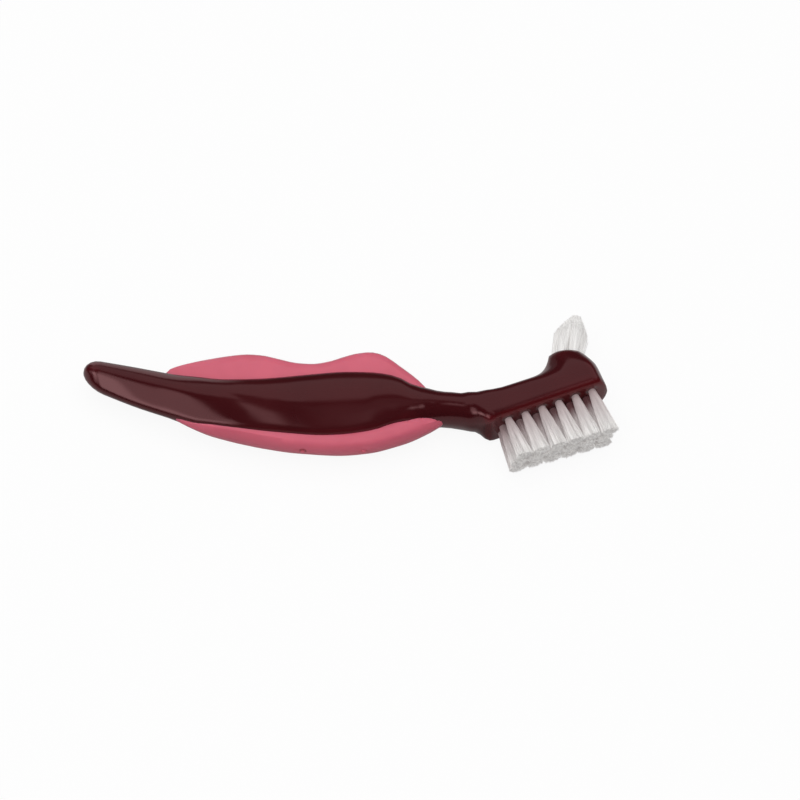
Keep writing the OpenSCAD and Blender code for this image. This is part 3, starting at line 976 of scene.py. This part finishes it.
def tuft_of(model, name, place, lines, sizes, chance):
    """A tuft as copies of the filament, one along each (root, tip) line of the tuft's own frame."""
    copies = []
    for root, tip in lines:
        copy = model.copy()
        copy.data = model.data.copy()
        bpy.context.scene.collection.objects.link(copy)
        reach = tip - root
        along = reach.normalized()
        outwards = Vector([value + chance.gauss(0, sizes.bow_scatter) for value in root.xy] + [0])
        bow = (outwards - along * outwards.dot(along)).normalized()
        axes = Matrix((bow, along.cross(bow), reach / sizes.model_length)).transposed().to_4x4()
        copy.matrix_world = place @ Matrix.Translation(root) @ axes
        copies.append(copy)
    only(*copies)
    bpy.ops.object.join()
    tuft = bpy.context.active_object
    tuft.name = tuft.data.name = name
    bpy.ops.object.transform_apply(location=True, rotation=True, scale=True)
    return tuft


# Stage


def towards(arc, side):
    """A direction from the brush: arc goes from the front over the top, and side turns it left or right."""
    arc, side = math.radians(arc), math.radians(side)
    return Vector((math.sin(side), -math.cos(side) * math.cos(arc), math.cos(side) * math.sin(arc)))


def facing(place, away):
    """The turn and place of a lamp or camera that looks back along the direction away."""
    return Matrix.Translation(place) @ (-away).to_track_quat("-Z", "Y").to_matrix().to_4x4()


def softbox(name, away, distance, target, size, level):
    """A soft lamp that adds this level to a white surface facing it, and that the gloss doesn't see."""
    lamp = bpy.data.lights.new(name, "AREA")
    lamp.shape = "RECTANGLE"
    lamp.size = lamp.size_y = size
    lamp.energy = level * math.pi**2 * distance**2
    holder = bpy.data.objects.new(name, lamp)
    bpy.context.scene.collection.objects.link(holder)
    holder.matrix_world = facing(target + away * distance, away)
    holder.visible_glossy = False


def only_in_gloss(piece, name, brightness):
    """Makes an object of the stage glow with this brightness in the gloss alone."""
    material, tree = bare_material(name)
    glow = add(tree, "ShaderNodeEmission", {"Color": WHITE, "Strength": brightness(tree)})
    add(tree, "ShaderNodeOutputMaterial", {"Surface": glow.outputs[0]})
    piece.data.materials.append(material)
    piece.visible_camera = piece.visible_diffuse = piece.visible_shadow = piece.visible_transmission = False


def floor_plane(stage):
    """The floor, just under the brush."""
    bpy.ops.object.select_all(action="DESELECT")
    bpy.ops.mesh.primitive_plane_add(size=stage.floor_size, location=(0, 0, -stage.floor_gap))
    floor = bpy.context.active_object
    floor.name = "floor"
    floor.data.materials.append(white_floor(stage))


def studio_tent(stage):
    """A half globe of dark cloth over the brush."""
    bpy.ops.object.select_all(action="DESELECT")
    bpy.ops.mesh.primitive_uv_sphere_add(
        segments=48, ring_count=24, radius=stage.tent_radius, location=(0, 0, 0)
    )
    tent = bpy.context.active_object
    tent.name = "studio_tent"
    bpy.ops.object.mode_set(mode="EDIT")
    bpy.ops.mesh.select_all(action="SELECT")
    bpy.ops.mesh.bisect(plane_co=(0, 0, 0), plane_no=(0, 0, 1), clear_inner=True)
    bpy.ops.object.mode_set(mode="OBJECT")
    only_in_gloss(tent, "Tent cloth", lambda tree: tent_brightness(tree, stage))


def reflector_card(stage):
    """A low card that stands behind the tail and fades at its right edge."""
    low, high = CARD
    bpy.ops.object.select_all(action="DESELECT")
    bpy.ops.mesh.primitive_cube_add(size=1, location=(low + high) / 2, scale=high - low)
    card = bpy.context.active_object
    card.name = "reflector_card"
    bpy.ops.object.transform_apply(location=True, rotation=True, scale=True)

    def brightness(tree):
        x, _, _ = coordinates(tree)
        return ramp(tree, x, high.x - CARD_FADE, high.x, stage.card_level, stage.tent_dark)

    only_in_gloss(card, "White card", brightness)


def plain_room(stage):
    """A world that lights the brush evenly and is seen white."""
    world = bpy.data.worlds.new("Plain room")
    bpy.context.scene.world = world
    world.use_nodes = True
    tree = world.node_tree
    sky = tree.nodes["Background"].inputs
    sky["Color"].default_value = WHITE
    feed(tree, sky["Strength"], ramp(tree, seen_directly(tree), 0, 1, stage.room_level, 1))


def photo_camera(stage, target):
    """The camera, which looks down on the brush from in front."""
    camera = bpy.data.cameras.new("camera")
    camera.sensor_width = 36
    camera.lens = camera.sensor_width * stage.distance / stage.frame_width
    camera.clip_start, camera.clip_end = 0.05, 20
    holder = bpy.data.objects.new("camera", camera)
    bpy.context.scene.collection.objects.link(holder)
    level = math.cos(stage.elevation)
    away = Vector((-level * math.sin(stage.turn), -level * math.cos(stage.turn), math.sin(stage.elevation)))
    holder.matrix_world = facing(target + away * stage.distance, away)
    bpy.context.scene.camera = holder
    bpy.context.scene.view_settings.view_transform = "Standard"


# Operators


class BRUSH_OT_handle(Operator):
    """Make the glossy handle and head"""

    bl_idname = "denture_brush.handle"
    bl_label = "Handle and head"

    def execute(self, context):
        look = settings(context).handle
        piece = moulded_copy("handle", "handle_moulding", look.smooth_angle)
        dress(piece, hard_plastic(look, settings(context).head), "handle", "handle")
        return {"FINISHED"}


class BRUSH_OT_soft_grip(Operator):
    """Make the soft grip"""

    bl_idname = "denture_brush.soft_grip"
    bl_label = "Soft grip"

    def execute(self, context):
        look = settings(context).grip
        piece = moulded_copy("soft_grip", "soft_grip_moulding", look.smooth_angle)
        for middle, outwards, _ in MOULDING_MARKS:
            raise_mark(piece, middle, outwards, look)
        dress(piece, elastomer(look), "grip", "soft_grip")
        return {"FINISHED"}


class BRUSH_OT_head_tufts(Operator):
    """Make the tufts of the head from single filaments"""

    bl_idname = "denture_brush.head_tufts"
    bl_label = "Tufts of the head"

    def execute(self, context):
        head = settings(context).head
        sizes = settings(context).filaments
        model = one_filament(sizes)
        colours = (sizes.nylon_grey, sizes.nylon)
        finish = nylon("Nylon of the head", sizes, head.turn, colours, sizes.glow, head)
        for row in range(head.rows):
            height = head.middle + ((head.rows - 1) / 2 - row) * head.row_step
            for column in range(head.columns):
                number = row * head.columns + column + 1
                chance = random.Random(number)
                along = head.last_at - (head.columns - 1 - column) * head.pitch - head.setback[row]
                place = (
                    Matrix.Rotation(head.turn, 4, "Z")
                    @ Matrix.Translation((along, -head.face_drop, height))
                    @ Matrix.Rotation(math.pi / 2, 4, "X")
                )
                lines = head_lines(head, sizes, along, chance)
                tuft = tuft_of(model, f"tuft_{number}_filaments", place, lines, sizes, chance)
                dress(tuft, finish, "bristles", f"tuft_{number}")
        bpy.data.objects.remove(model)
        return {"FINISHED"}


class BRUSH_OT_pointed_brush(Operator):
    """Make the small pointed brush from single filaments"""

    bl_idname = "denture_brush.pointed_brush"
    bl_label = "Pointed brush"

    def execute(self, context):
        head = settings(context).head
        pointed = settings(context).pointed
        sizes = settings(context).filaments
        model = one_filament(sizes)
        place = (
            Matrix.Rotation(head.turn, 4, "Z")
            @ Matrix.Translation((pointed.boss_at, pointed.boss_reach, head.middle))
            @ Matrix.Rotation(-head.turn - pointed.lean, 4, "Z")
            @ Matrix.Rotation(-math.pi / 2, 4, "X")
        )
        colours = (pointed.nylon_grey, pointed.nylon)
        finish = nylon("Nylon of the pointed brush", sizes, -pointed.lean, colours, pointed.glow)
        for number in range(pointed.around + 1):
            chance = random.Random(100 + number)
            turn = math.radians(360 / pointed.around * (number - 1))
            hole = Vector((math.cos(turn), math.sin(turn))) * (pointed.ring if number else 0)
            lines = pointed_lines(pointed, sizes, hole, chance)
            tuft = tuft_of(model, f"point_tuft_{number + 1}_filaments", place, lines, sizes, chance)
            dress(tuft, finish, "bristles", f"point_tuft_{number + 1}")
        bpy.data.objects.remove(model)
        return {"FINISHED"}


class BRUSH_OT_anchors(Operator):
    """Finish the anchors that hold the tufts"""

    bl_idname = "denture_brush.anchors"
    bl_label = "Anchors"

    def execute(self, context):
        metal = anchor_metal()
        for name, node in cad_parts.items():
            if "anchor" in name:
                node.data.materials.clear()
                node.data.materials.append(metal)
        return {"FINISHED"}


class BRUSH_OT_stage(Operator):
    """Set the floor, the light and the camera"""

    bl_idname = "denture_brush.stage"
    bl_label = "Floor, light and camera"

    def execute(self, context):
        stage = settings(context).stage
        target = Vector(stage.view_point)
        floor_plane(stage)
        plain_room(stage)
        softbox("sky_softbox", towards(95, 0), 1.2, target, 1.6, stage.sky_level)
        softbox("side_softbox", towards(60, -35), 0.9, target, 0.5, stage.side_level)
        studio_tent(stage)
        reflector_card(stage)
        photo_camera(stage, target)
        return {"FINISHED"}


class BRUSH_PT_pieces(Panel):
    """The pieces of the brush, in the order in which they are made"""

    bl_label = "Denture brush"
    bl_space_type = "VIEW_3D"
    bl_region_type = "UI"
    bl_category = "Brush"

    def draw(self, context):
        for piece in PIECES:
            self.layout.operator(piece.bl_idname)


PIECES = (
    BRUSH_OT_handle,
    BRUSH_OT_soft_grip,
    BRUSH_OT_head_tufts,
    BRUSH_OT_pointed_brush,
    BRUSH_OT_anchors,
    BRUSH_OT_stage,
)
CLASSES = (
    HandleLook,
    GripLook,
    FilamentSizes,
    HeadSizes,
    PointedSizes,
    StageSettings,
    BrushSettings,
    *PIECES,
    BRUSH_PT_pieces,
)


def register():
    for cls in CLASSES:
        bpy.utils.register_class(cls)
    bpy.types.Scene.denture_brush = PointerProperty(type=BrushSettings)


def unregister():
    del bpy.types.Scene.denture_brush
    for cls in reversed(CLASSES):
        bpy.utils.unregister_class(cls)


def main():
    """Makes every piece and the stage."""
    register()
    bpy.ops.denture_brush.handle()
    bpy.ops.denture_brush.soft_grip()
    bpy.ops.denture_brush.head_tufts()
    bpy.ops.denture_brush.pointed_brush()
    bpy.ops.denture_brush.anchors()
    bpy.ops.denture_brush.stage()
    bpy.context.view_layer.update()


if __name__ == "__main__":
    main()
